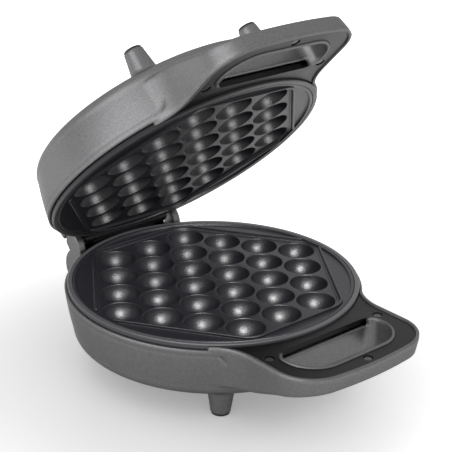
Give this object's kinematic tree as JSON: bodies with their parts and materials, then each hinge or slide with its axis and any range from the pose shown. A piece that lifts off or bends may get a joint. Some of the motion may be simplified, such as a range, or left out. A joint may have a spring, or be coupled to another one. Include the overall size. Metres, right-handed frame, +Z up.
{
  "type": "bubble waffle maker",
  "caption": "Tabletop bubble waffle maker with two hinged round non-stick plates of round pockets in gray housings and a split loop handle, shown half open.",
  "frame": {"origin": "middle of the bounding box at table level, on the plane the four foot pads stand on", "axes": "+X to the right seen from the handle, +Y from the handle towards the rear hinge, +Z up; the lid stands open by 45.8 degrees"},
  "size_m": [0.221, 0.2996, 0.2727],
  "materials": {
    "housing_plastic": "satin silver gray with a very fine metallic sparkle",
    "cover_plastic": "black, fine moulded texture",
    "bezel_plastic": "black satin",
    "nonstick_plate": "cast, black non-stick coating, satin",
    "hinge_metal": "black, satin",
    "screw_steel": "zinc plated",
    "element_steel": "matt, heat darkened",
    "reflector_sheet": "mill finish",
    "foot_rubber": "matt black",
    "terminal_plastic": "off white",
    "fuse_sleeve": "white woven glass sleeve",
    "thermostat_steel": "plain steel",
    "inlet_plastic": "black, flexible bush",
    "red_lens": "clear red, glossy",
    "green_lens": "clear green, glossy",
    "lamp_glass": "clear glass neon lamp"
  },
  "bodies": {
    "base": {"lower_housing": "housing_plastic", "lower_handle_cover": "cover_plastic", "lower_bezel": "bezel_plastic", "lower_baking_plate": "nonstick_plate", "lower_heating_element": "element_steel", "lower_reflector": "reflector_sheet", "lower_plate_screws": "screw_steel", "lower_cover_screws": "screw_steel", "lower_foot_pads": "foot_rubber", "lower_hinge_bracket": "hinge_metal", "lower_hinge_screws": "screw_steel", "hinge_pin": "hinge_metal", "thermal_fuse": "fuse_sleeve", "terminal_block": "terminal_plastic", "cord_inlet": "inlet_plastic"},
    "lid": {"upper_housing": "housing_plastic", "upper_handle_cover": "cover_plastic", "upper_bezel": "bezel_plastic", "upper_baking_plate": "nonstick_plate", "upper_heating_element": "element_steel", "upper_reflector": "reflector_sheet", "upper_plate_screws": "screw_steel", "upper_cover_screws": "screw_steel", "upper_foot_pads": "foot_rubber", "upper_hinge_bracket": "hinge_metal", "upper_hinge_screws": "screw_steel", "thermostat": "thermostat_steel", "power_lamp_lens": "red_lens", "ready_lamp_lens": "green_lens", "indicator_lamps": "lamp_glass", "lamp_holder": "terminal_plastic"}
  },
  "joints": [
    {"name": "lid_hinge", "type": "hinge", "parent": "base", "child": "lid", "pos_m": [0, 0.12765, 0.0679], "axis": [-1, 0, 0], "range_deg": [-45.8, 42]}
  ]
}
